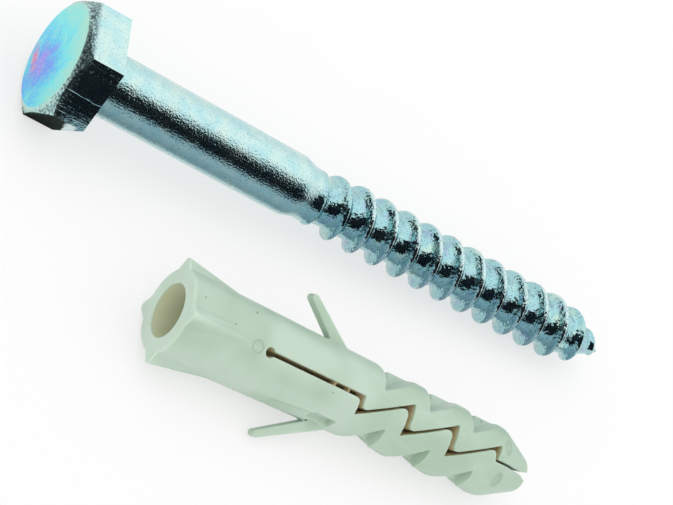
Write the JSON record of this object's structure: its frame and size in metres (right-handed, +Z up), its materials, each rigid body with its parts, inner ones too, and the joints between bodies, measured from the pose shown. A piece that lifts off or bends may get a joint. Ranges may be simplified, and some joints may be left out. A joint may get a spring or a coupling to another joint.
{
  "type": "wall plug with hex screw",
  "caption": "Expansion wall plug lying beside its hexagon-head wood screw: zigzag-split nylon sleeve with teeth and wings, zinc-plated screw.",
  "frame": {"origin": "centre of the pair's bounding box, on the floor it lies on", "axes": "+X along the screw from its head to its point, +Z up, the plug on the -Y side"},
  "size_m": [0.1066, 0.0496, 0.0173],
  "materials": {
    "bright_zinc": "bright zinc plating, slightly iridescent",
    "mint_nylon": "matt moulded nylon, pale grey-green"
  },
  "bodies": {
    "root": {"hex_screw": "bright_zinc", "wall_plug": "mint_nylon"}
  },
  "joints": []
}
